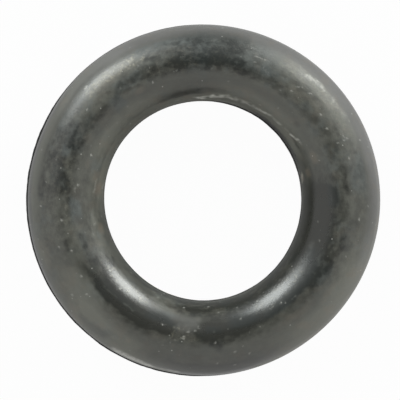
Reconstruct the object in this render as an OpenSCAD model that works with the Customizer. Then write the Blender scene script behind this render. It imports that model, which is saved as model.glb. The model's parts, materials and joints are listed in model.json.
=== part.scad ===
// O-ring: a seal moulded in one piece of rubber, with a round section.
// It lies flat. The origin is the ring's centre, on its mid-plane, and Z is its axis.
// Sizes are in millimetres.

/* [Ring] */
// Inside diameter of the round section
inner_d = 9.12; // [4:0.01:60]
// Diameter of the round section
section_d = 3.53; // [1:0.01:8]

/* [Parting line] */
// Thickness of the trimmed flash, where the two halves of the mould met
flash_t = 0.12; // [0.04:0.01:0.3]
// How far the trimmed flash stands out from the round section
flash_h = 0.03; // [0.01:0.01:0.14]

/* [Hidden] */
$fn = 128;
rubber_colour = [0.29, 0.295, 0.28];
// Radius of the circle that the section's centre follows
ring_r = (inner_d + section_d) / 2;
// Width of the section across the trimmed flash
flash_w = section_d + 2 * flash_h;

// The section as the mould leaves it: round, with a low square-edged line of flash
// at its inner and its outer side
module moulded_section() {
    circle(d = section_d);
    square([flash_w, flash_t], center = true);
}

module o_ring() {
    color(rubber_colour)
        rotate_extrude()
            translate([ring_r, 0])
                moulded_section();
}

o_ring();
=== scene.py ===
"""An o-ring lying flat on a white table, seen from straight above.

The ring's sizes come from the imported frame. Everything is in metres, in the frame's own axes.
"""

import json
import math

import bpy
import numpy as np
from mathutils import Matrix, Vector, noise


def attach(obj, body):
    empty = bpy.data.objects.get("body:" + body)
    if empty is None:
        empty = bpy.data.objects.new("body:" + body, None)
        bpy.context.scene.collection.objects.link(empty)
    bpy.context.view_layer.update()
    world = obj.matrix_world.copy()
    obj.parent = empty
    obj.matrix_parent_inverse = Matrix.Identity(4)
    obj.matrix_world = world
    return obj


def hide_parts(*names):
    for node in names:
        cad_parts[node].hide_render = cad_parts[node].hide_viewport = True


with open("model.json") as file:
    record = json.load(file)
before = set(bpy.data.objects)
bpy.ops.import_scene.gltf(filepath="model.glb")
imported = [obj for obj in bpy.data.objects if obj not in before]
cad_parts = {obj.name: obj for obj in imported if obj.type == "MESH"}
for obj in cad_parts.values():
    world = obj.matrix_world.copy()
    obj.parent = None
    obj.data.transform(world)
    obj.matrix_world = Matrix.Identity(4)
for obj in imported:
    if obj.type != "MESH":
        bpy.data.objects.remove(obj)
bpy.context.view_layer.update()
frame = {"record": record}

MM = 0.001

# Sizes of the ring, from the frame
mounts = {mount["name"]: mount for mount in frame["record"]["mounts"]}
inner_r = mounts["shaft_seat"]["dims"]["r_mm"] * MM
outer_r = mounts["housing_seat"]["dims"]["r_mm"] * MM
flash_t = mounts["shaft_seat"]["dims"]["length_mm"] * MM
section_r = mounts["top_face_seal"]["pos_m"][2]
ring_r = (inner_r + outer_r) / 2
flash_h = (outer_r - inner_r) / 2 - section_r
floor_z = mounts["bottom_face_seal"]["pos_m"][2]

# Camera: straight above, close enough for some perspective
CAMERA_DISTANCE = 100 * MM
IMAGE_SIDE_PX = 400
RING_CENTRE_PX = (202.82, 200.24)
RING_OUTER_R_PX = 176.35
SENSOR_MM = 36.0
CLIP_START = 1 * MM

# Mesh density: steps round the ring, and over and under the section between the lines of flash
STEPS_AROUND = 704
STEPS_OVER = 98
STEPS_UNDER = 30
# Steps beside the flash and where the even steps begin, as shares of half its thickness
BESIDE_FLASH = 1.1
FROM_FLASH = 1.6

# The moulding is not quite even: its width and the line of its middle waver round the ring. Each term:
# waves round the ring, height, azimuth phase in degrees.
WIDTH_WAVES = (
    (2, 0.030 * MM, 30),
    (3, 0.015 * MM, -45),
)
CENTRE_WAVES = ((3, 0.015 * MM, 60),)

# Small waves of the skin: height, and size of the blobs. They are full over the top, which begins and
# ends over these tilts in degrees, and have a share of their height elsewhere.
SKIN_WAVES = ((0.004 * MM, 0.9 * MM), (0.0015 * MM, 0.35 * MM))
TOP_BEGINS = (-40, -15)
TOP_ENDS = (30, 55)
WAVES_ELSEWHERE = 0.35

# Flash: its usual height outside and inside, then where it is trimmed least, as middle and half-width in
# azimuth and height. The round section is set back by as much. Where the flash is taller it is also painted
# darker, a painted shadow along the outer edge at the lower left and the inner edge at the upper right.
OUTER_LIP_USUAL = 0.006 * MM
INNER_LIP_USUAL = 0.013 * MM
OUTER_LIP = ((208, 78, 0.054 * MM), (130, 45, 0.016 * MM), (178, 36, 0.006 * MM))
INNER_LIP = ((50, 44, 0.036 * MM), (290, 85, 0.014 * MM))
LIP_CORE = 0.6
# How ragged the flash is: share of its height, and size of the blobs
LIP_RAGGED = ((0.2, 0.7 * MM), (0.15, 0.2 * MM))
# How far from its middle it stands out and is painted dark as a shadow, as shares of its thickness, and how
# high it is where the painted shadow is full
LIP_REACH = 0.52
LIP_SHADOW_REACH = 0.58
LIP_FULL_SHADOW_HEIGHT = 0.03 * MM

# Torn flash pressed against the inner face, as one line: azimuth, tilt and half-width in degrees, and
# strength
TEAR_LINE = (
    (29, -43, 2.5, 0.0),
    (32, -45, 4.0, 0.45),
    (37, -51, 3.5, 0.45),
    (38, -52, 3.0, 0.10),
    (48, -55, 4.5, 0.20),
    (54, -56, 5.0, 0.42),
    (57, -57, 5.0, 0.38),
    (60, -58, 5.5, 0.30),
    (64, -59, 6.5, 0.38),
    (70, -59, 6.5, 0.26),
    (75, -58, 7.0, 0.36),
    (80, -60, 7.5, 0.52),
    (84, -63, 7.5, 0.82),
    (88, -67, 7.0, 0.58),
    (92, -69, 7.0, 0.80),
    (96, -67, 4.0, 0.0),
)
TEAR_HEIGHT = 0.012 * MM
TEAR_CORE = 0.3
# The line sways by some degrees, and breaks where noise lowers it: sizes of the blobs, then its usual
# wholeness, what the two noises add to it, and the most that it can be
TEAR_SWAY_DEG = 3.0
TEAR_SWAY_SIZE = 0.3 * MM
TEAR_BREAK_SIZE = 0.18 * MM
TEAR_USUAL = 0.75
TEAR_BREAK_SHARE = 1.6
TEAR_SWAY_SHARE = 0.8
TEAR_MOST = 1.5

# Lamps: name, azimuth and angle from straight up, angular width and height, all in degrees, then
# radiance and colour
LAMP_DISTANCE = 0.8
LAMPS = (
    ("softbox_left", 129.0, 63.0, 25.0, 35.0, 9.3, (0.955, 1.0, 0.985)),
    ("softbox_right", 48.0, 73.0, 26.0, 33.0, 13.2, (0.97, 1.0, 0.965)),
)
ROOM_RADIANCE = 0.82
ROOM_DIM_RADIANCE = 0.52
ROOM_DIM_AZIMUTH = 80.0
# Where the dimmer side begins and is full, as the cosine of the angle from its azimuth
ROOM_DIM_BEGINS = -0.2
ROOM_DIM_FULL = 0.5
DARK_TOP_RADIANCE = 0.08
DARK_TOP_INNER_DEG = 14.0
DARK_TOP_OUTER_DEG = 32.0

# Table: how much of its white is shown for its own sake, seen straight and in a reflection.
# Reflections keep the shadow near the ring: the white comes in between these distances from its centre,
# and it is brighter towards one side, over a span to both sides of the centre. One place is dimmer.
FLOOR_HALF_SIDE = 1.5
FLOOR_ALBEDO = 0.55
FLOOR_GLOW = 0.97
FLOOR_GLOW_REFLECTED = 1.0
FLOOR_DIM_REFLECTED = 0.5
REFLECTED_AZIMUTH = 345.0
REFLECTED_SPAN = 9 * MM
REFLECTED_FROM = 7.5 * MM
REFLECTED_TO = 10 * MM
DIM_PLACE_AZIMUTH = 276.0
DIM_PLACE_RADIUS = 14 * MM
DIM_PLACE_FROM = 2 * MM
DIM_PLACE_TO = 7 * MM
DIM_PLACE_SHARE = 0.4

# Grey film on the rubber: its usual amount, how much the crest and the two sides differ from it, over which
# degrees they do, and its least and most. Tilt is the angle from the top of the section, positive outwards.
# Each patch: middle and half-width in azimuth, middle and half-width in tilt, share of the half-width over
# which it fades, and film added. Some patches at the edges of the section are painted reflection and
# painted shade, as marked among them.
FILM_USUAL = 0.42
FILM_CREST = -0.14
FILM_CREST_TILT = -3
FILM_OUTSIDE = 0.13
FILM_INSIDE = -0.08
FILM_CREST_FADES = (4, 18)
FILM_SIDES_BEGIN = (35, 60)
FILM_LEAST = -0.12
FILM_MOST = 1.2
FILM_AND_PAINTED_EDGE_PATCHES = (
    (36, 44, 2, 31, 0.6, 0.12),
    (36, 26, -1, 8, 0.6, 0.04),
    (40, 24, 6, 9, 0.6, 0.07),
    (43, 23, 33, 12, 0.30, 0.25),
    (90, 36, -8, 6, 0.4, -0.08),
    (86, 32, -20, 5, 0.30, 0.05),
    (55, 62, 20, 18, 0.6, -0.07),
    (6, 20, -24, 14, 0.6, -0.06),
    (104, 18, -14, 8, 0.6, -0.08),
    (105, 17, 20, 15, 0.6, -0.08),
    (100, 18, 3, 6, 0.6, 0.04),
    (132, 22, 12, 30, 0.8, 0.16),
    (140, 6, -1, 7, 0.7, 0.06),
    (168, 24, 26, 24, 0.8, -0.20),
    (192, 21, -6, 19, 0.8, 0.15),
    (219, 20, 21, 34, 0.8, 0.35),
    (235, 32, -17, 21, 0.6, -0.40),
    (238, 18, -7, 6, 0.45, -0.08),
    (225, 15, 3, 6, 0.6, 0.08),
    (249, 9, -5, 7, 0.5, -0.16),
    (350, 16, 18, 12, 0.6, -0.06),
    (315, 70, -42, 42, 0.4, -0.35),
    (276, 30, 53, 20, 0.7, -0.40),
    (321, 32, 45, 31, 0.7, 0.60),
    (28, 34, 56, 20, 0.8, 0.25),
    (60, 40, -49, 28, 0.8, 0.60),
    (42, 26, -80, 11, 0.5, -0.50),
    (136, 42, -45, 22, 0.8, 0.60),
    (184, 32, -49, 14, 0.7, 0.20),
    (234, 20, 43, 30, 0.6, 0.45),
    (227, 24, -37, 15, 0.5, -0.40),
    (130, 22, 26, 12, 0.5, -0.20),
    # This row brightens the inner edge: painted reflection.
    (122, 72, -74, 18, 0.4, 1.00),
    (76, 17, -62, 11, 0.6, 0.45),
    (42, 24, -61, 10, 0.6, 0.45),
    # These five rows brighten or darken the outer edge: painted reflection where they add film, painted
    # shade where they take it away.
    (335, 60, 77, 14, 0.5, 1.00),
    (177, 45, 73, 15, 0.5, -0.55),
    (274, 17, 73, 15, 0.4, -0.60),
    (132, 22, 58, 17, 0.6, 0.30),
    (80, 28, 75, 14, 0.5, -0.30),
    (351, 9.6, -46, 8, 0.25, -0.16),
    (348, 26, -34, 21, 0.6, -0.30),
    (282, 18, -18, 10, 0.6, -0.20),
    (284, 16, -48, 8, 0.5, 0.20),
    # These two rows darken the inner edge: painted shade.
    (240, 30, -76, 14, 0.6, -0.20),
    (335, 30, -76, 12, 0.6, -0.25),
    (291, 8.2, -52, 11, 0.30, -0.10),
)
# A place with less film that has one sharp side: the side's azimuth and how far it is blurred, how far
# along the ring the place is full and where it ends, its middle and half-width in tilt, and film added
FILM_STEP = (73.5, 1.0, 13, 38, 27, 42, -0.22)
FILM_STEP_CORE = 0.5

# More patches like the film's: where it is neutral grey, where it is brown, where the noise is strong,
# where film and rubber are cool, and where the surface is glossier, or duller if below zero
NEUTRAL_PATCHES = (
    (62, 100, 75, 45, 0.5, 1.0),
    (262, 10, -22, 20, 0.6, 0.6),
)
BROWN_PATCHES = (
    (21, 5, -32, 8, 0.8, 0.35),
    (15, 3, -53, 9, 0.8, 0.35),
    (13, 3, -72, 8, 0.7, 0.50),
    (173.5, 6, -62, 15, 0.8, 0.60),
    (168, 4, -48, 8, 0.8, 0.35),
    (195.5, 5, -57, 10, 0.8, 0.45),
    (310, 10, 12, 9, 0.7, 0.15),
    (324, 7, 25, 7, 0.7, 0.15),
    (200, 6, 46, 12, 0.8, 0.15),
    (223, 4, 62, 12, 0.8, 0.25),
    (120, 4, -20, 6, 0.8, 0.25),
)
MOTTLE_PATCHES = (
    (105, 115, 10, 34, 0.4, 1.0),
    (285, 95, -4, 18, 0.5, 0.35),
    (232, 26, -4, 12, 0.5, 0.30),
    (285, 95, 24, 26, 0.5, 0.30),
    (180, 180, -60, 30, 0.4, 0.45),
    (290, 65, -56, 24, 0.4, 0.45),
    (190, 32, -36, 30, 0.5, 0.80),
    (150, 32, -40, 30, 0.5, 0.40),
    (210, 40, 50, 24, 0.5, 0.50),
    (0, 45, 0, 52, 0.5, 0.45),
)
# Cool patches; the rows at azimuths 106, 147, 228, 250, 289, 316 and 332 lie round the highlights and paint
# their cool fringe: painted reflection.
COOL_PATCHES = (
    (78, 24, 22, 34, 0.5, 0.75),
    (103, 20, 22, 30, 0.6, 0.40),
    (90, 3, 20, 60, 0.6, 0.5),
    (106, 14, 33, 10, 0.6, 0.9),
    (122, 8, 0, 12, 0.5, 0.6),
    (131, 5, -17, 16, 0.6, 0.7),
    (147, 13, 30, 10, 0.6, 0.7),
    (153, 10, 4, 16, 0.6, 0.7),
    (160, 3, 8, 8, 0.6, 0.7),
    (184, 8, -17, 12, 0.6, 0.9),
    (202, 12, -20, 10, 0.6, 0.5),
    (228, 16, -19, 8, 0.6, 0.35),
    (250, 10, -26, 14, 0.6, 0.8),
    (229, 6, -52, 8, 0.6, 0.4),
    (289, 9, -24, 16, 0.6, 0.9),
    (275, 5, -15, 8, 0.6, 0.6),
    (316, 26, -22, 20, 0.5, 0.9),
    (328, 8, 3, 12, 0.6, 0.7),
    (332, 6, -30, 10, 0.6, 0.7),
    (3, 8, -14, 12, 0.6, 0.7),
    (10, 10, 26, 18, 0.6, 0.8),
    (344, 6, 50, 12, 0.7, 0.4),
    (62, 6, 8, 8, 0.6, 0.5),
)
GLOSS_PATCHES = (
    (127, 14, 28, 11, 0.6, 0.4),
    (44, 36, 38, 30, 0.6, -1.0),
    (306, 16, -34, 13, 0.6, 0.6),
    (346, 20, -33, 22, 0.6, 0.8),
    (284, 18, -20, 15, 0.6, 0.8),
    (228, 20, -36, 12, 0.6, 0.4),
    (232, 24, -17, 10, 0.6, 0.8),
)

# The marks wander over the skin: degrees and size of the blobs, along the ring and across it, and how
# far the second noise is shifted from the first
WANDER_ALONG = ((1.2, 0.7 * MM), (0.4, 0.2 * MM))
WANDER_ACROSS = ((3.5, 0.9 * MM), (1.5, 0.25 * MM))
WANDER_SHIFT = (7.0 * MM, 3.0 * MM, 5.0 * MM)

# Marks in the film, as soft lines on the skin: azimuth and tilt of the two ends, half-width in
# millimetres, and film added. A mark is full over its core, a share of the half-width, and gone at the
# spread less that share. Rubbed marks have less film and smeared ones more, and the crisp ones are a
# streak at the lower left.
MARK_CORE = 0.2
CRISP_CORE = 0.45
FLECK_CORE = 0.25
HAZE_AND_HIGHLIGHT_CORE = 0.0
MARK_SPREAD = 1.25
RUBBED_MARKS = (
    (0, -15, 5, -15, 0.30, -0.16),
    (0, -47, 8, -47, 0.16, -0.16),
    (8, -46, 26, -43, 0.12, -0.10),
    (3, 6, 9, 6, 0.14, -0.20),
    (10, 5, 15, 5, 0.20, -0.10),
    (27, 12, 29, 12, 0.16, -0.12),
    (29, -52, 35, -54, 0.09, -0.22),
    (34, -2, 35, -1, 0.20, -0.14),
    (38, -30, 39, -30, 0.20, -0.20),
    (43, -3, 52, -4, 0.20, -0.06),
    (60, -3, 79, -2, 0.24, -0.05),
    (72, 8, 76, 10, 0.20, -0.12),
    (79, 30, 81, 32, 0.30, -0.12),
    (80, 3, 85, 5, 0.36, -0.16),
    (84, 16, 86, 16, 0.28, -0.12),
    (84, 0, 99, 1, 0.28, -0.08),
    (99, 1, 104.5, 3, 0.38, -0.18),
    (106, 0, 112, 2, 0.24, -0.16),
    (78, -45, 92, -47, 0.14, -0.18),
    (93, -50, 112, -53, 0.30, -0.20),
    (121, 1, 125, 0, 0.22, -0.18),
    (134, -3, 144, -9, 0.16, -0.03),
    (146, 4, 149, -3, 0.26, -0.08),
    (150, 12, 157, 10, 0.46, -0.24),
    (150, -8, 156, -9, 0.24, -0.05),
    (163.5, 9, 169, 4, 0.34, -0.30),
    (171.5, 3, 176, 3, 0.38, -0.13),
    (160, 25, 163, 26, 0.34, -0.08),
    (173, 36, 178, 37, 0.30, -0.16),
    (160, 40, 166, 40, 0.10, -0.12),
    (150, 42, 159, 41, 0.08, -0.06),
    (180, -8, 181, -9, 0.20, -0.12),
    (186, 15, 187, 15, 0.16, -0.16),
    (190, 10, 192, 9, 0.10, -0.16),
    (196, 4, 199.5, 5, 0.13, -0.22),
    (196, -19, 201, -19, 0.18, -0.18),
    (202, -18, 208, -21, 0.22, -0.14),
    (200, 15, 206, 14, 0.28, -0.10),
    (190, -56, 194, -56, 0.09, -0.24),
    (181, -64, 187, -62, 0.08, -0.14),
    (228, 3, 231, 4, 0.28, -0.14),
    (236, -4, 241, -5, 0.24, -0.12),
    (226, 49, 233, 47, 0.50, -0.40),
    (268, -8, 286, -9, 0.32, -0.22),
    (268, -2, 277, -1, 0.28, -0.17),
    (274.5, 4, 276.5, 14, 0.24, -0.22),
    (277, 9, 284, -1, 0.28, -0.19),
    (284, -10, 300, -9, 0.28, -0.16),
    (262, -51, 280, -50, 0.16, -0.12),
    (283, -50, 288, -49, 0.16, -0.10),
    (312, -11, 322, -11, 0.18, -0.16),
    (323, 1, 334, 2, 0.36, -0.14),
    (334, 9, 346, 6, 0.30, -0.10),
    (322, -4, 345, -7, 0.26, -0.08),
    (335, -4, 340.5, -4, 0.12, -0.20),
    (338, 6, 345, 6, 0.20, -0.10),
    (342, -46, 356, -45, 0.24, -0.10),
    (346, -26, 358, -25, 0.22, -0.12),
)
CRISP_MARKS = (
    (216, -10, 226, -10, 0.14, -0.28),
    (223, -9, 241, -8, 0.20, -0.26),
    (239, -12, 254.5, -9, 0.26, -0.44),
)
SMEARED_MARKS = (
    (11, -74, 15, -70, 0.12, 0.80),
    (7, -28, 9, -28, 0.24, 0.10),
    (20, 33, 25, 40, 0.30, 0.08),
    (95, 28, 97.5, 29, 0.18, 0.22),
    (100, -72, 106, -70, 0.14, 0.30),
    (139, -38, 144, -38, 0.18, 0.12),
    (144, -63, 146, -63, 0.14, 0.14),
    (150, -38, 152, -37, 0.14, 0.12),
    (158.5, 12, 161.5, 5, 0.26, 0.20),
    (168, 27, 170, 28, 0.16, 0.10),
    (169, -53, 176, -51, 0.07, 0.30),
    (182, -18, 187, -18, 0.34, 0.10),
    (186, -45, 199, -40, 0.20, 0.12),
    (221, -14, 229, -16, 0.06, 0.22),
    (232, -16, 240, -16, 0.06, 0.20),
    (254, -33, 266, -32, 0.44, 0.22),
    (259, -16, 266, -18, 0.34, 0.24),
    (268, -35, 272, -35, 0.26, 0.12),
    (244, -54, 250, -54, 0.16, 0.14),
    (345, 0, 350, 4, 0.22, 0.10),
    (350, 6, 356, 10, 0.22, 0.08),
)

# Pale haze, as soft lines like the marks and as patches like the film's, with its strength, and then a
# creamier patch where the skin is scuffed pale. Much of the haze is painted highlight: the upper right
# highlight and its core, the tails of the upper left and lower right ones, the inner fringe of the lower
# left one, a glint along the outer edge at the bottom and a painted reflection along it at the lower right.
HAZE_AND_HIGHLIGHT_MARKS = (
    (38, 38, 52, 36, 0.26, 0.07),
    (42.5, 38, 49.5, 37, 0.14, 0.40),
    (30.5, 38, 35.5, 39, 0.22, 0.16),
    (36, 30, 38, 43, 0.14, 0.12),
    (51, 30, 60, 28, 0.24, 0.05),
    (23, 22, 27, 18, 0.12, 0.07),
    (137, 30, 150, 28, 0.24, 0.11),
    (192, -46, 186, -42, 0.14, 0.05),
    (169, -53, 176, -52, 0.06, 0.10),
    (171, -78, 172, -74, 0.12, 0.15),
    (11, -74, 15, -71, 0.12, 0.25),
    (60, -79, 150, -80, 0.26, 0.18),
    (95, -68, 118, -70, 0.20, 0.05),
    (240.5, 67, 251, 68, 0.31, 1.00),
    (318, 50, 345, 52, 0.50, 0.04),
    (322, -33, 338, -34, 0.24, 0.06),
    (216, -46, 238, -46, 0.18, 0.05),
    (296, 73, 326, 73, 0.34, 0.12),
    (250, 67, 262, 69, 0.17, 0.45),
)
HAZE_AND_HIGHLIGHT_PATCHES = ((47, 13, 33, 11, 0.25, 0.11),)
# The creamy patch: partly scuffed pale skin, partly a painted highlight at the upper left.
CREAM_SCUFF_AND_HIGHLIGHT_PATCHES = ((126, 15, 24, 11, 0.5, 0.16),)

# Bright flecks and scratches, as lines like the marks, with their strength
FLECKS = (
    (26, 17, 22.5, 24, 0.05, 0.35),
    (28.5, 41, 27.5, 41, 0.06, 0.25),
    (37.5, 38, 36.5, 46, 0.06, 0.45),
    (45, 15, 44, 17, 0.06, 0.55),
    (50.5, 13, 48.5, 17, 0.05, 0.35),
    (49.5, 39, 46, 41, 0.07, 0.80),
    (66, 10, 62, 4, 0.09, 0.18),
    (69.5, 21, 66, 24, 0.06, 0.35),
    (72, 31, 70.5, 31.5, 0.05, 0.55),
    (75, 12, 74.5, 16, 0.04, 0.30),
    (98.5, 8, 97, 9, 0.05, 0.25),
    (102.5, -12, 101, -10, 0.06, 0.35),
    (104.5, -68, 102.5, -68, 0.09, 0.30),
    (113, 2, 112.5, 3, 0.06, 0.35),
    (117.5, 11, 116, 14, 0.06, 0.35),
    (137, 35, 135.5, 36, 0.08, 0.65),
    (164, 17, 163, 18, 0.06, 0.25),
    (167, -20, 165, -19, 0.06, 0.25),
    (176.5, -17, 174.5, -17, 0.06, 0.25),
    (176, -53, 170, -52, 0.06, 0.25),
    (192.5, -44, 191, -47, 0.07, 0.40),
    (195, -27, 194, -28, 0.07, 0.25),
    (198, -40, 193, -38, 0.06, 0.15),
    (243, -65, 241, -70, 0.07, 0.25),
    (245.5, -57, 244, -58, 0.06, 0.25),
    (252.5, -14, 251, -14, 0.05, 0.25),
    (256.5, 9, 256, 4, 0.07, 0.25),
    (259.5, 2, 258.5, 2, 0.06, 0.30),
    (262, 0, 260.5, -1, 0.06, 0.45),
    (264, -11, 262.5, -11, 0.05, 0.30),
    (267, -12, 266, -12, 0.06, 0.40),
    (268.5, -17, 267.5, -19, 0.06, 0.30),
    (304, -20, 301.5, -19, 0.05, 0.30),
    (309, -14, 307.5, -17, 0.05, 0.40),
    (314, -9, 311, -11, 0.04, 0.20),
)

# Dust: azimuth, tilt and strength of the larger grains
DUST_GRAINS = (
    (158, -30, 1.00),
    (173, -21, 0.60),
    (142, 10, 0.60),
    (113, -18, 0.60),
    (50, 36, 0.60),
    (36, 8, 0.60),
    (30, 4, 0.60),
    (23, 19, 0.50),
    (21, 46, 0.50),
    (16, 17, 0.50),
    (51, 1, 0.50),
    (182, 36, 0.50),
    (188, 4, 0.60),
    (201, 1, 0.70),
    (198, 17, 0.50),
    (212, 5, 0.50),
    (219, 14, 0.50),
    (216, 34, 0.50),
    (227, -28, 0.80),
    (217, -35, 0.80),
    (260, -53, 0.60),
    (262, -4, 0.50),
    (353, 26, 0.60),
    (273, -60, 0.50),
    (275, 4, 0.50),
    (287, 32, 0.40),
    (282, 23, 0.40),
    (275, 39, 0.40),
    (281, 48, 0.40),
)
GRAIN_SIZE = 0.065 * MM
# Small grains over the whole ring: how many, the least and greatest size, and the strength, which a power
# makes fainter. A grain is full over its core, a share of its size.
DUST_COUNT = 200
DUST_SIZE = (0.04 * MM, 0.07 * MM)
DUST_AMOUNT = (0.05, 0.6)
DUST_POWER = 1.5
DUST_CORE = 0.35
DUST_SEED = 204
# How far along the ring, in radians, the mesh is searched for one grain
DUST_NEAR = 0.05

# Scuffed places, where the surface is grained and catches the light, as patches like the film's. The first
# row and those at azimuths 46, 226 and 310 lie on the four highlights and paint pale grain into them:
# painted highlight.
SCUFF_AND_HIGHLIGHT_PATCHES = (
    (125, 17, 26, 12, 0.5, 0.52),
    (46, 28, 32, 18, 0.7, 0.20),
    (262, 8, -8, 14, 0.6, 0.30),
    (226, 20, -37, 12, 0.6, 0.55),
    (310, 20, -30, 12, 0.6, 0.45),
    (180, 34, 5, 30, 0.7, 0.10),
    (100, 30, 10, 30, 0.7, 0.12),
)

# Colours of the rubber, of its film and of what lies on it. The lip's black is painted shadow; the scuff
# grey, the dust grey and the cream are partly real and partly painted highlight.
RUBBER_BLACK = (0.0216, 0.0222, 0.0183, 1)
RUBBER_COOL = (0.0185, 0.0222, 0.0205, 1)
LIP_SHADOW_BLACK = (0.016, 0.016, 0.016, 1)
TEAR_GREY = (0.50, 0.50, 0.45, 1)
FILM_WARM = (0.121, 0.123, 0.102, 1)
FILM_NEUTRAL = (0.120, 0.119, 0.115, 1)
BROWN = (0.150, 0.124, 0.094, 1)
SCUFF_AND_HIGHLIGHT_GREY = (0.42, 0.39, 0.29, 1)
FILM_COOL = (0.110, 0.123, 0.117, 1)
DUST_AND_HIGHLIGHT_GREY = (0.36, 0.36, 0.33, 1)
CREAM_SCUFF_AND_HIGHLIGHT = (0.40, 0.375, 0.285, 1)
# Noise on the rubber: blobs a millimetre, detail, roughness and offset, then the values between which
# it rises, and how much of it is added to the film
CLUMP_NOISE = (1.3, 3.0, 0.55, 0.0)
CLUMP_RISE = (0.36, 0.68)
CLUMP_SHARE = 0.18
CLUMP_MIDDLE = 0.42
CLOUD_NOISE = (3.8, 3.0, 0.55, 17.0)
CLOUD_RISE = (0.36, 0.64)
CLOUD_SHARE = 0.20
FLECK_NOISE = (6.0, 3.0, 0.6, 7.0)
FLECK_RISE = (0.25, 0.75)
FLECK_SHARE = 0.05
WORN_NOISE = (4.6, 3.0, 0.6, 41.0)
WORN_RISE = (0.43, 0.57)
WORN_SHARE = 0.16
WORN_FILM = (0.15, 0.60)
GRAIN_NOISE = (12.0, 2.0, 0.6, 3.0)
FINE_SHARE = 0.16
DRIFT_NOISE = (0.5, 2.0, 0.5, 13.0)
STREAK_NOISE = (5.0, 4.0, 0.7, 5.0)
STREAK_SHARE = 0.13
TINT_NOISE = (0.9, 3.0, 0.6, 21.0)
TINT_RISE = (0.48, 0.62)
TINT_SHARE = 0.5
BLOTCH_NOISE = (1.6, 3.0, 0.6, 51.0)
BLOTCH_RISE = (0.50, 0.66)
BLOTCH_SHARE = 0.25
BROKEN_NOISE = (9.0, 2.0, 0.5, 31.0)
BROKEN_RISE = (0.40, 0.62)
# How far clumps, clouds and worn places are drawn out along the ring
DRAWN_OUT = 1.4
# Shares of the noise, of its finest grain and of the bump where there is no mottling and where it is full
RAGGED_BY_MOTTLE = (0.25, 1.0)
FINE_BY_MOTTLE = (0.5, 1.0)
BUMP_BY_MOTTLE = (0.10, 0.18)
BUMP_BY_SCUFF = 0.45
# Flecks break up the haze and scuffs and the painted highlights in them: values between which they rise,
# and shares there
HAZE_AND_HIGHLIGHT_BY_FLECK = (0.35, 0.65, 0.6, 1.4)
SCUFF_AND_HIGHLIGHT_BY_FLECK = (0.50, 0.74, 0.0, 0.5)
CLEAN_ROUGHNESS = 0.30
FILM_ROUGHNESS = 0.56
FLECK_ROUGHNESS = 0.12
LIP_ROUGHNESS = 0.3
GLOSS_ROUGHNESS = -0.10
RUBBER_IOR = 1.6
GRAIN_HEIGHT = 0.020 * MM
# Specks of dust too small for the mesh: cells, size within a cell, and which cells have how strong a one
DUST_CELLS_A_MM = 2.2
SPECK_SIZE = (0.04, 0.10)
SPECK_CHANCE = (0.2, 1.0)
SPECK_STRENGTH = 0.6


def add_node(tree, kind, inputs=None, **settings):
    """Adds a shader node, sets its properties and fills or links its inputs."""
    made = tree.nodes.new(kind)
    for name, value in settings.items():
        setattr(made, name, value)
    for key, value in (inputs or {}).items():
        if isinstance(value, bpy.types.NodeSocket):
            tree.links.new(value, made.inputs[key])
        else:
            made.inputs[key].default_value = value
    return made


def new_material(name):
    """An empty node material: returns it, its tree and its output node."""
    material = bpy.data.materials.new(name)
    material.use_nodes = True
    tree = material.node_tree
    tree.nodes.clear()
    return material, tree, add_node(tree, "ShaderNodeOutputMaterial")


def smooth_step(low, high, values):
    """0 below low, 1 above high, smooth between."""
    share = np.clip((values - low) / (high - low), 0, 1)
    return share * share * (3 - 2 * share)


def turn_between(angles_deg, middle_deg):
    """Angle from a middle, in degrees, the short way round."""
    return (angles_deg - middle_deg + 180) % 360 - 180


def cloud(points, size):
    """Smooth noise from about -1 to 1 at each point, with blobs of about that size."""
    flat = points.reshape(-1, 3) / size
    return np.array([noise.noise(Vector(p)) for p in flat]).reshape(points.shape[:-1])


def clouds(points, terms):
    """Sum of noises, each with its own amount and size of blobs."""
    return sum(amount * cloud(points, size) for amount, size in terms)


def waves_round(azimuth, terms):
    """Sum of cosine waves round the ring."""
    return sum(height * np.cos(count * azimuth - math.radians(phase)) for count, height, phase in terms)


def patches(azimuth_deg, tilt_deg, table):
    """Sum of soft-edged patches on the ring."""
    total = np.zeros_like(azimuth_deg)
    for azimuth, azimuth_half, tilt, tilt_half, fade, amount in table:
        aside = np.abs(turn_between(azimuth_deg, azimuth)) / azimuth_half
        across = np.abs(tilt_deg - tilt) / tilt_half
        total += amount * (1 - smooth_step(1 - fade, 1, aside)) * (1 - smooth_step(1 - fade, 1, across))
    return total


def line_marks(azimuth_deg, tilt_deg, table, core):
    """Sum of soft-edged lines drawn on the skin, full over a core share of their half-width."""
    total = np.zeros_like(azimuth_deg)
    for azimuth_0, tilt_0, azimuth_1, tilt_1, half_width, amount in table:
        reach = ring_r + section_r * math.sin(math.radians((tilt_0 + tilt_1) / 2))
        along = np.radians(turn_between(azimuth_deg, azimuth_0)) * reach
        across = np.radians(tilt_deg - tilt_0) * section_r
        end_along = math.radians(azimuth_1 - azimuth_0) * reach
        end_across = math.radians(tilt_1 - tilt_0) * section_r
        share = np.clip((along * end_along + across * end_across) / (end_along**2 + end_across**2), 0, 1)
        away = np.hypot(along - share * end_along, across - share * end_across)
        total += amount * (1 - smooth_step(core, MARK_SPREAD - core, away / (half_width * MM)))
    return total


def section_angles():
    """Angles round the section, from the outer side upwards, with a step at each side of the flash."""
    half = flash_t / 2
    flash = half * np.array([-BESIDE_FLASH, -1, -0.5, 0, 0.5, 1, BESIDE_FLASH]) / section_r
    from_flash = half * FROM_FLASH / section_r
    over = np.linspace(from_flash, math.pi - from_flash, STEPS_OVER)
    under = np.linspace(from_flash, math.pi - from_flash, STEPS_UNDER)
    return np.concatenate([flash, over, flash + math.pi, under + math.pi])


def from_flash_line(angles):
    """Distance along the section from the middle of the flash."""
    return np.abs((angles + math.pi / 2) % math.pi - math.pi / 2) * section_r


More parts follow.
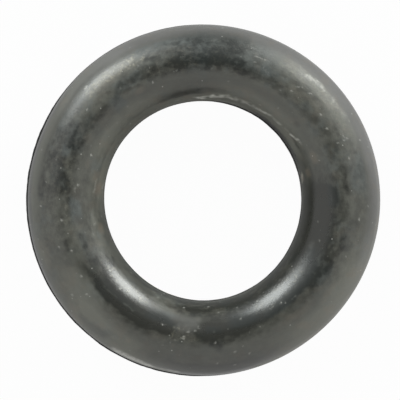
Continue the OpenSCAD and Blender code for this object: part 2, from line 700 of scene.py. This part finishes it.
def mean_lip_height(azimuth_deg, outside):
    """Height of the flash round the ring, before it is made ragged."""
    height = np.where(outside, OUTER_LIP_USUAL, INNER_LIP_USUAL)
    for table, here in ((OUTER_LIP, outside), (INNER_LIP, ~outside)):
        for azimuth, half, amount in table:
            aside = np.abs(turn_between(azimuth_deg, azimuth)) / half
            height = height + here * amount * (1 - smooth_step(LIP_CORE, 1, aside))
    return height


def tear_amount(azimuth_deg, tilt_deg, skin):
    """A ragged line of torn flash, from 0 to about 1."""
    sway = cloud(skin, TEAR_SWAY_SIZE)
    whole = TEAR_USUAL + TEAR_BREAK_SHARE * cloud(skin, TEAR_BREAK_SIZE) + TEAR_SWAY_SHARE * sway
    azimuths, tilts, halves, strengths = zip(*TEAR_LINE)
    across = np.abs(tilt_deg + TEAR_SWAY_DEG * sway - np.interp(azimuth_deg, azimuths, tilts))
    across = across / np.interp(azimuth_deg, azimuths, halves)
    strength = np.interp(azimuth_deg, azimuths, strengths)
    return strength * (1 - smooth_step(TEAR_CORE, 1, across)) * np.clip(whole, 0, TEAR_MOST)


def film_step(azimuth_deg, tilt_deg):
    """A place with less film that begins sharply and fades out along the ring."""
    side, blur, full, end, tilt, tilt_half, amount = FILM_STEP
    past = turn_between(azimuth_deg, side)
    along = smooth_step(-blur, blur, past) * (1 - smooth_step(full, end, past))
    across = np.abs(tilt_deg - tilt) / tilt_half
    return amount * along * (1 - smooth_step(FILM_STEP_CORE, 1, across))


def film_amount(azimuth_deg, tilt_deg):
    """Thickness of the grey film, from about 0 to 1, before its ragged edges. At the edges of the section
    some of it is painted reflection and painted shade.
    """
    from_crest = np.abs(tilt_deg - FILM_CREST_TILT)
    film = FILM_USUAL + FILM_CREST * (1 - smooth_step(*FILM_CREST_FADES, from_crest))
    film = film + FILM_OUTSIDE * smooth_step(*FILM_SIDES_BEGIN, tilt_deg)
    film = film + FILM_INSIDE * smooth_step(*FILM_SIDES_BEGIN, -tilt_deg)
    film = film + patches(azimuth_deg, tilt_deg, FILM_AND_PAINTED_EDGE_PATCHES) + film_step(azimuth_deg, tilt_deg)
    film = film + line_marks(azimuth_deg, tilt_deg, RUBBED_MARKS + SMEARED_MARKS, MARK_CORE)
    film = film + line_marks(azimuth_deg, tilt_deg, CRISP_MARKS, CRISP_CORE)
    return np.clip(film, FILM_LEAST, FILM_MOST)


def dust_amount(skin):
    """Grains of dust lying on the skin, from 0 to 1."""
    chance = np.random.default_rng(DUST_SEED)
    azimuth = chance.uniform(0, 2 * math.pi, DUST_COUNT)
    angle = chance.uniform(0, 2 * math.pi, DUST_COUNT)
    size = chance.uniform(*DUST_SIZE, DUST_COUNT)
    amount = chance.uniform(*DUST_AMOUNT, DUST_COUNT) ** DUST_POWER
    grains = list(zip(azimuth, angle, size, amount))
    for azimuth_deg, tilt_deg, strength in DUST_GRAINS:
        grains.append((math.radians(azimuth_deg), math.radians(90 - tilt_deg), GRAIN_SIZE, strength))
    dust = np.zeros(skin.shape[:-1])
    around = np.arctan2(skin[:, 0, 1], skin[:, 0, 0])
    for azimuth, angle, size, amount in grains:
        spot = surface_point(azimuth, angle)
        near = np.abs((around - azimuth + math.pi) % (2 * math.pi) - math.pi) < DUST_NEAR
        away = np.linalg.norm(skin[near] - spot, axis=-1)
        dust[near] = np.maximum(dust[near], amount * (1 - smooth_step(DUST_CORE, 1, away / size)))
    return dust


def surface_point(azimuth, angle):
    """A point on the plain round section, at an azimuth and an angle of the section."""
    radius = ring_r + section_r * np.cos(angle)
    return np.stack(
        [radius * np.cos(azimuth), radius * np.sin(azimuth), section_r * np.sin(angle)], axis=-1
    )


def add_attribute(mesh, name, values):
    """Stores one number a vertex, for the material to read."""
    attribute = mesh.attributes.new(name, "FLOAT", "POINT")
    attribute.data.foreach_set("value", values.astype(np.float32).ravel())


def ring_quads(n_around, n_angle):
    """Faces of a grid of points that closes both ways."""
    index = np.arange(n_around * n_angle).reshape(n_around, n_angle)
    next_around = np.roll(index, -1, axis=0)
    corners = [index, next_around, np.roll(next_around, -1, axis=1), np.roll(index, -1, axis=1)]
    return np.stack(corners, axis=-1).reshape(-1, 4)


def add_wear(mesh, azimuth_deg, tilt_deg, skin):
    """Stores where the skin has film, marks, haze, dust and scuffs; the haze, cream and scuffs also hold
    painted highlights, and the film painted reflection and shade at the edges.
    """
    azimuth_worn = azimuth_deg + clouds(skin, WANDER_ALONG)
    tilt_worn = tilt_deg + clouds(skin + WANDER_SHIFT, WANDER_ACROSS)
    haze_and_highlight = line_marks(azimuth_worn, tilt_worn, HAZE_AND_HIGHLIGHT_MARKS, HAZE_AND_HIGHLIGHT_CORE)
    haze_and_highlight = haze_and_highlight + patches(azimuth_worn, tilt_worn, HAZE_AND_HIGHLIGHT_PATCHES)
    scratch = line_marks(azimuth_worn, tilt_worn, FLECKS, FLECK_CORE)
    add_attribute(mesh, "film", film_amount(azimuth_worn, tilt_worn))
    add_attribute(mesh, "haze_and_highlight", np.clip(haze_and_highlight, 0, 1))
    add_attribute(mesh, "scratch", np.clip(scratch, 0, 1))
    add_attribute(mesh, "cream_scuff_and_highlight", patches(azimuth_worn, tilt_worn, CREAM_SCUFF_AND_HIGHLIGHT_PATCHES))
    add_attribute(mesh, "gloss", patches(azimuth_deg, tilt_deg, GLOSS_PATCHES))
    add_attribute(mesh, "dust", dust_amount(skin))
    for name, table in (("brown", BROWN_PATCHES), ("cool", COOL_PATCHES)):
        add_attribute(mesh, name, np.clip(patches(azimuth_worn, tilt_worn, table), 0, 1))
    for name, table in (("mottle", MOTTLE_PATCHES), ("neutral", NEUTRAL_PATCHES), ("scuff_and_highlight", SCUFF_AND_HIGHLIGHT_PATCHES)):
        add_attribute(mesh, name, np.clip(patches(azimuth_deg, tilt_deg, table), 0, 1))


def ring_mesh():
    """The ring as a fine closed mesh, with its wear and the painted shadow along its flash stored on it."""
    around = np.linspace(0, 2 * math.pi, STEPS_AROUND, endpoint=False)
    azimuth, angle = np.meshgrid(around, section_angles(), indexing="ij")
    azimuth_deg = np.degrees(azimuth)
    tilt_deg = turn_between(90 - np.degrees(angle), 0)
    skin = surface_point(azimuth, angle)
    set_back = mean_lip_height(azimuth_deg, np.cos(angle) > 0)
    lip = set_back * (1 + clouds(skin, LIP_RAGGED))
    in_lip = from_flash_line(angle) < flash_t * LIP_REACH
    in_lip_shadow = from_flash_line(angle) < flash_t * LIP_SHADOW_REACH
    tear = tear_amount(azimuth_deg, tilt_deg, skin)
    top = smooth_step(*TOP_BEGINS, tilt_deg) * (1 - smooth_step(*TOP_ENDS, tilt_deg))
    bumps = clouds(skin, SKIN_WAVES) * (WAVES_ELSEWHERE + (1 - WAVES_ELSEWHERE) * top)
    proud = lip * in_lip + TEAR_HEIGHT * tear + bumps - set_back * np.abs(np.cos(angle))
    # The outer edge stands where the frame has its flash, the inner one where it has the round section
    across = np.cos(angle) * (section_r + proud + flash_h / 2 + waves_round(azimuth, WIDTH_WAVES))
    radius = ring_r + flash_h / 2 + waves_round(azimuth, CENTRE_WAVES) + across
    height = np.sin(angle) * (section_r + proud)
    points = np.stack([radius * np.cos(azimuth), radius * np.sin(azimuth), height], axis=-1)
    mesh = bpy.data.meshes.new("ring")
    mesh.from_pydata(points.reshape(-1, 3), [], ring_quads(*azimuth.shape))
    on_edge = in_lip != np.roll(in_lip, -1, axis=1)
    mesh.polygons.foreach_set("use_smooth", ~on_edge.ravel())
    # How dark the flash is painted: a painted shadow along the edge, full where the flash is tall.
    add_attribute(mesh, "lip", in_lip_shadow * np.clip(lip / LIP_FULL_SHADOW_HEIGHT, 0, 1))
    add_attribute(mesh, "tear", np.clip(tear, 0, 1))
    add_wear(mesh, azimuth_deg, tilt_deg, skin)
    return mesh


def vector_maths(tree, operation, inputs, output="Vector"):
    """One operation on vectors: returns its vector, or its value."""
    return add_node(tree, "ShaderNodeVectorMath", inputs, operation=operation).outputs[output]


def maths(tree, operation, first, second, third=0.0):
    """One operation on numbers."""
    return add_node(
        tree, "ShaderNodeMath", {0: first, 1: second, 2: third}, operation=operation
    ).outputs[0]


def noise_fac(tree, coords, scale, detail, roughness, offset):
    """Fractal noise about 0.5, at a scale in blobs a millimetre."""
    moved = vector_maths(tree, "ADD", {0: coords, 1: (offset, offset, offset)})
    inputs = {"Vector": moved, "Scale": scale, "Detail": detail, "Roughness": roughness}
    return add_node(tree, "ShaderNodeTexNoise", inputs).outputs["Fac"]


def about_zero(tree, value, share, middle=0.5):
    """A share of a noise, moved so that its middle adds nothing."""
    return maths(tree, "MULTIPLY_ADD", value, share, -share * middle)


def ramp(tree, value, low, high, to_low=0.0, to_high=1.0):
    """A smooth step from one value to another."""
    made = add_node(
        tree,
        "ShaderNodeMapRange",
        {"Value": value, "From Min": low, "From Max": high, "To Min": to_low, "To Max": to_high},
        interpolation_type="SMOOTHSTEP",
    )
    return made.outputs["Result"]


def mix_colour(tree, share, first, second):
    """Two colours mixed, with a share of the second. The node has its colours at sockets 6 and 7."""
    return add_node(tree, "ShaderNodeMix", {0: share, 6: first, 7: second}, data_type="RGBA").outputs[2]


def attribute(tree, name):
    """A number that the mesh stores on each vertex."""
    return add_node(tree, "ShaderNodeAttribute", attribute_name=name).outputs["Fac"]


def flat_radius(tree, coords):
    """Place in the ring's plane, distance from its axis, and height."""
    flat = vector_maths(tree, "MULTIPLY", {0: coords, 1: (1, 1, 0)})
    radius = vector_maths(tree, "LENGTH", {0: flat}, "Value")
    height = add_node(tree, "ShaderNodeSeparateXYZ", {0: coords}).outputs["Z"]
    return flat, radius, height


def drawn_out(tree, coords):
    """Coordinates of a smaller ring with the same section, in which noise is drawn out along the ring."""
    flat, radius, height = flat_radius(tree, coords)
    nearer = maths(tree, "SUBTRACT", radius, ring_r / MM * (1 - 1 / DRAWN_OUT))
    outwards = vector_maths(tree, "NORMALIZE", {0: flat})
    moved = vector_maths(tree, "SCALE", {0: outwards, "Scale": nearer})
    up = add_node(tree, "ShaderNodeCombineXYZ", {2: height}).outputs[0]
    return vector_maths(tree, "ADD", {0: moved, 1: up})


def streak_fac(tree, coords):
    """Faint streaks that run round the ring and waver."""
    radius, height = flat_radius(tree, coords)[1:]
    drift = noise_fac(tree, coords, *DRIFT_NOISE)
    place = add_node(tree, "ShaderNodeCombineXYZ", {0: radius, 1: height, 2: drift}).outputs[0]
    return noise_fac(tree, place, *STREAK_NOISE)


def dust_fac(tree, coords):
    """Tiny specks of dust, from 0 to their full strength."""
    cells = add_node(
        tree, "ShaderNodeTexVoronoi", {"Vector": coords, "Scale": DUST_CELLS_A_MM, "Randomness": 1.0}
    )
    chance = add_node(tree, "ShaderNodeSeparateColor", {0: cells.outputs["Color"]}).outputs[0]
    spot = ramp(tree, cells.outputs["Distance"], *SPECK_SIZE, 1.0, 0.0)
    return maths(tree, "MULTIPLY", spot, ramp(tree, chance, *SPECK_CHANCE, 0.0, SPECK_STRENGTH))


def ragged_film(tree, coords, fleck_noise, grain):
    """The film that the mesh stores, made ragged by noise of several sizes."""
    film = attribute(tree, "film")
    mottle = attribute(tree, "mottle")
    along = drawn_out(tree, coords)
    clump = ramp(tree, noise_fac(tree, along, *CLUMP_NOISE), *CLUMP_RISE)
    cloudy = ramp(tree, noise_fac(tree, along, *CLOUD_NOISE), *CLOUD_RISE)
    fleck = ramp(tree, fleck_noise, *FLECK_RISE)
    worn = ramp(tree, noise_fac(tree, along, *WORN_NOISE), *WORN_RISE)
    thin = ramp(tree, film, *WORN_FILM, WORN_SHARE, 0.0)
    ragged = about_zero(tree, clump, -CLUMP_SHARE, CLUMP_MIDDLE)
    ragged = maths(tree, "ADD", ragged, about_zero(tree, cloudy, CLOUD_SHARE))
    ragged = maths(tree, "ADD", ragged, about_zero(tree, fleck, FLECK_SHARE))
    ragged = maths(tree, "ADD", ragged, maths(tree, "MULTIPLY", about_zero(tree, worn, 1.0), thin))
    ragged = maths(tree, "MULTIPLY", ragged, ramp(tree, mottle, 0, 1, *RAGGED_BY_MOTTLE))
    fine = about_zero(tree, grain, FINE_SHARE)
    fine = maths(tree, "MULTIPLY", fine, ramp(tree, mottle, 0, 1, *FINE_BY_MOTTLE))
    ragged = maths(tree, "ADD", ragged, fine)
    ragged = maths(tree, "ADD", ragged, about_zero(tree, streak_fac(tree, coords), STREAK_SHARE))
    return maths(tree, "MAXIMUM", maths(tree, "ADD", film, ragged), 0.0)


def rubber_colour(tree, coords, film, fleck_noise):
    """Black rubber, and over it the film and all that lies on it, layer by layer, with painted highlights
    in the haze, cream and scuff layers and painted shadow on the flash.
    """
    tint = ramp(tree, noise_fac(tree, coords, *TINT_NOISE), *TINT_RISE)
    tint = maths(tree, "MULTIPLY", tint, maths(tree, "MULTIPLY", attribute(tree, "mottle"), TINT_SHARE))
    tint = maths(tree, "MAXIMUM", tint, attribute(tree, "cool"))
    blotch = ramp(tree, noise_fac(tree, coords, *BLOTCH_NOISE), *BLOTCH_RISE, 0.0, BLOTCH_SHARE)
    film_colour = mix_colour(tree, tint, FILM_WARM, FILM_COOL)
    film_colour = mix_colour(tree, attribute(tree, "neutral"), film_colour, FILM_NEUTRAL)
    film_colour = mix_colour(tree, blotch, film_colour, BROWN)
    haze_and_highlight_flecks = ramp(tree, fleck_noise, *HAZE_AND_HIGHLIGHT_BY_FLECK)
    scuff_and_highlight_flecks = ramp(tree, fleck_noise, *SCUFF_AND_HIGHLIGHT_BY_FLECK)
    broken = ramp(tree, noise_fac(tree, coords, *BROKEN_NOISE), *BROKEN_RISE)
    layers = (
        (film, film_colour),
        (attribute(tree, "brown"), BROWN),
        (attribute(tree, "tear"), TEAR_GREY),
        # Haze, cream and scuffs: pale skin and painted highlights together.
        (maths(tree, "MULTIPLY", attribute(tree, "haze_and_highlight"), haze_and_highlight_flecks), DUST_AND_HIGHLIGHT_GREY),
        (maths(tree, "MULTIPLY", attribute(tree, "cream_scuff_and_highlight"), haze_and_highlight_flecks), CREAM_SCUFF_AND_HIGHLIGHT),
        (maths(tree, "MULTIPLY", attribute(tree, "scuff_and_highlight"), scuff_and_highlight_flecks), SCUFF_AND_HIGHLIGHT_GREY),
        (maths(tree, "MAXIMUM", attribute(tree, "dust"), dust_fac(tree, coords)), DUST_AND_HIGHLIGHT_GREY),
        (maths(tree, "MULTIPLY", attribute(tree, "scratch"), broken), DUST_AND_HIGHLIGHT_GREY),
        # The flash, painted dark as a shadow along the edge.
        (attribute(tree, "lip"), LIP_SHADOW_BLACK),
    )
    colour = mix_colour(tree, tint, RUBBER_BLACK, RUBBER_COOL)
    for share, layer_colour in layers:
        colour = mix_colour(tree, share, colour, layer_colour)
    return colour


def rubber_roughness(tree, film, fleck_noise):
    """Rougher under film and on the flash, with flecks and with glossier and duller patches."""
    roughness = ramp(tree, film, 0, 1, CLEAN_ROUGHNESS, FILM_ROUGHNESS)
    roughness = maths(tree, "ADD", roughness, about_zero(tree, fleck_noise, FLECK_ROUGHNESS))
    for name, amount in (("lip", LIP_ROUGHNESS), ("gloss", GLOSS_ROUGHNESS)):
        roughness = maths(tree, "ADD", roughness, maths(tree, "MULTIPLY", attribute(tree, name), amount))
    return roughness


def rubber_bump(tree, fleck_noise, grain):
    """Fine grain of the skin, stronger where it is mottled or scuffed."""
    by_mottle = ramp(tree, attribute(tree, "mottle"), 0, 1, *BUMP_BY_MOTTLE)
    by_scuff = maths(tree, "MULTIPLY", attribute(tree, "scuff_and_highlight"), BUMP_BY_SCUFF)
    inputs = {
        "Height": maths(tree, "ADD", grain, fleck_noise),
        "Strength": maths(tree, "MAXIMUM", by_mottle, by_scuff),
        "Distance": GRAIN_HEIGHT,
    }
    return add_node(tree, "ShaderNodeBump", inputs).outputs[0]


def rubber_material():
    """Black rubber under an uneven grey film, with dust."""
    material, tree, output = new_material("rubber")
    metres = add_node(tree, "ShaderNodeTexCoord").outputs["Object"]
    coords = vector_maths(tree, "SCALE", {0: metres, "Scale": 1 / MM})
    fleck_noise = noise_fac(tree, coords, *FLECK_NOISE)
    grain = noise_fac(tree, coords, *GRAIN_NOISE)
    film = ragged_film(tree, coords, fleck_noise, grain)
    inputs = {
        "Base Color": rubber_colour(tree, coords, film, fleck_noise),
        "Roughness": rubber_roughness(tree, film, fleck_noise),
        "IOR": RUBBER_IOR,
        "Normal": rubber_bump(tree, fleck_noise, grain),
    }
    shader = add_node(tree, "ShaderNodeBsdfPrincipled", inputs)
    tree.links.new(shader.outputs["BSDF"], output.inputs["Surface"])
    return material


def build_ring():
    """The ring, which stands for the solid in the frame."""
    ring = bpy.data.objects.new("o_ring_rubber", ring_mesh())
    bpy.context.scene.collection.objects.link(ring)
    ring.data.materials.append(rubber_material())
    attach(ring, "root")
    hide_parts("o_ring")


def floor_material():
    """White table top, which shows as white and still takes a soft shadow."""
    material, tree, output = new_material("white_table")
    path = add_node(tree, "ShaderNodeLightPath")
    reflected = maths(tree, "MAXIMUM", path.outputs["Is Glossy Ray"], path.outputs["Is Transmission Ray"])
    place = add_node(tree, "ShaderNodeTexCoord").outputs["Object"]
    away = vector_maths(tree, "LENGTH", {0: place}, "Value")
    side = math.radians(REFLECTED_AZIMUTH)
    bright_way = (math.cos(side), math.sin(side), 0)
    towards_side = vector_maths(tree, "DOT_PRODUCT", {0: place, 1: bright_way}, "Value")
    share = ramp(
        tree, towards_side, -REFLECTED_SPAN, REFLECTED_SPAN, FLOOR_DIM_REFLECTED, FLOOR_GLOW_REFLECTED
    )
    share = maths(tree, "MULTIPLY", share, ramp(tree, away, REFLECTED_FROM, REFLECTED_TO))
    dim_side = math.radians(DIM_PLACE_AZIMUTH)
    dim_place = (DIM_PLACE_RADIUS * math.cos(dim_side), DIM_PLACE_RADIUS * math.sin(dim_side), floor_z)
    from_dim = vector_maths(tree, "DISTANCE", {0: place, 1: dim_place}, "Value")
    dimmed = ramp(tree, from_dim, DIM_PLACE_FROM, DIM_PLACE_TO, DIM_PLACE_SHARE, 1.0)
    share = maths(tree, "MULTIPLY", share, dimmed)
    reflected = maths(tree, "MULTIPLY", reflected, share)
    direct = maths(tree, "MULTIPLY", path.outputs["Is Camera Ray"], FLOOR_GLOW)
    white = (FLOOR_ALBEDO, FLOOR_ALBEDO, FLOOR_ALBEDO, 1)
    matt = add_node(tree, "ShaderNodeBsdfDiffuse", {"Color": white})
    glow = add_node(tree, "ShaderNodeEmission", {"Color": (1, 1, 1, 1), "Strength": 1.0})
    surface = add_node(
        tree,
        "ShaderNodeMixShader",
        {0: maths(tree, "MAXIMUM", direct, reflected), 1: matt.outputs[0], 2: glow.outputs[0]},
    )
    tree.links.new(surface.outputs[0], output.inputs["Surface"])
    return material


def build_floor():
    """A square table top under the ring."""
    ways = ((-1, -1), (1, -1), (1, 1), (-1, 1))
    corners = [(x * FLOOR_HALF_SIDE, y * FLOOR_HALF_SIDE, floor_z) for x, y in ways]
    mesh = bpy.data.meshes.new("table")
    mesh.from_pydata(corners, [], [(0, 1, 2, 3)])
    floor = bpy.data.objects.new("table", mesh)
    bpy.context.scene.collection.objects.link(floor)
    mesh.materials.append(floor_material())


def build_room():
    """Pale surroundings, dimmer on one side and dark straight overhead."""
    world = bpy.data.worlds.new("room")
    bpy.context.scene.world = world
    world.use_nodes = True
    tree = world.node_tree
    tree.nodes.clear()
    output = add_node(tree, "ShaderNodeOutputWorld")
    coords = add_node(tree, "ShaderNodeTexCoord")
    parts = add_node(tree, "ShaderNodeSeparateXYZ", {0: coords.outputs["Generated"]})
    dim_side = math.radians(ROOM_DIM_AZIMUTH)
    dim_way = (math.cos(dim_side), math.sin(dim_side), 0)
    towards_dim = vector_maths(tree, "DOT_PRODUCT", {0: coords.outputs["Generated"], 1: dim_way}, "Value")
    sides = ramp(tree, towards_dim, ROOM_DIM_BEGINS, ROOM_DIM_FULL, ROOM_RADIANCE, ROOM_DIM_RADIANCE)
    top_begins = math.cos(math.radians(DARK_TOP_OUTER_DEG))
    top_full = math.cos(math.radians(DARK_TOP_INNER_DEG))
    level = ramp(tree, parts.outputs["Z"], top_begins, top_full, sides, DARK_TOP_RADIANCE)
    light = add_node(tree, "ShaderNodeBackground", {"Color": (1, 1, 1, 1), "Strength": level})
    tree.links.new(light.outputs[0], output.inputs["Surface"])


def build_lamp(name, azimuth_deg, from_up_deg, width_deg, height_deg, radiance, colour):
    """An oval softbox aimed at the ring."""
    azimuth, from_up = math.radians(azimuth_deg), math.radians(from_up_deg)
    towards = Vector((
        math.sin(from_up) * math.cos(azimuth),
        math.sin(from_up) * math.sin(azimuth),
        math.cos(from_up),
    ))
    data = bpy.data.lights.new(name, "AREA")
    data.shape = "ELLIPSE"
    data.color = colour
    data.size = 2 * LAMP_DISTANCE * math.tan(math.radians(width_deg / 2))
    data.size_y = 2 * LAMP_DISTANCE * math.tan(math.radians(height_deg / 2))
    area = math.pi * data.size / 2 * data.size_y / 2
    data.energy = radiance * math.pi * area
    lamp = bpy.data.objects.new(name, data)
    lamp.location = towards * LAMP_DISTANCE
    lamp.rotation_euler = towards.to_track_quat("Z", "Y").to_euler()
    bpy.context.scene.collection.objects.link(lamp)


def build_camera():
    """Looks straight down, with the ring where the photograph has it."""
    half_view = outer_r / CAMERA_DISTANCE * (IMAGE_SIDE_PX / 2) / RING_OUTER_R_PX
    size_per_px = half_view * CAMERA_DISTANCE / (IMAGE_SIDE_PX / 2)
    data = bpy.data.cameras.new("camera")
    data.sensor_width = SENSOR_MM
    data.lens = SENSOR_MM / 2 / half_view
    data.clip_start = CLIP_START
    camera = bpy.data.objects.new("camera", data)
    camera.location = (
        (IMAGE_SIDE_PX / 2 - RING_CENTRE_PX[0]) * size_per_px,
        (RING_CENTRE_PX[1] - IMAGE_SIDE_PX / 2) * size_per_px,
        CAMERA_DISTANCE,
    )
    bpy.context.scene.collection.objects.link(camera)
    bpy.context.scene.camera = camera


build_camera()
build_ring()
build_floor()
build_room()
for lamp in LAMPS:
    build_lamp(*lamp)
bpy.context.scene.view_settings.view_transform = "Standard"
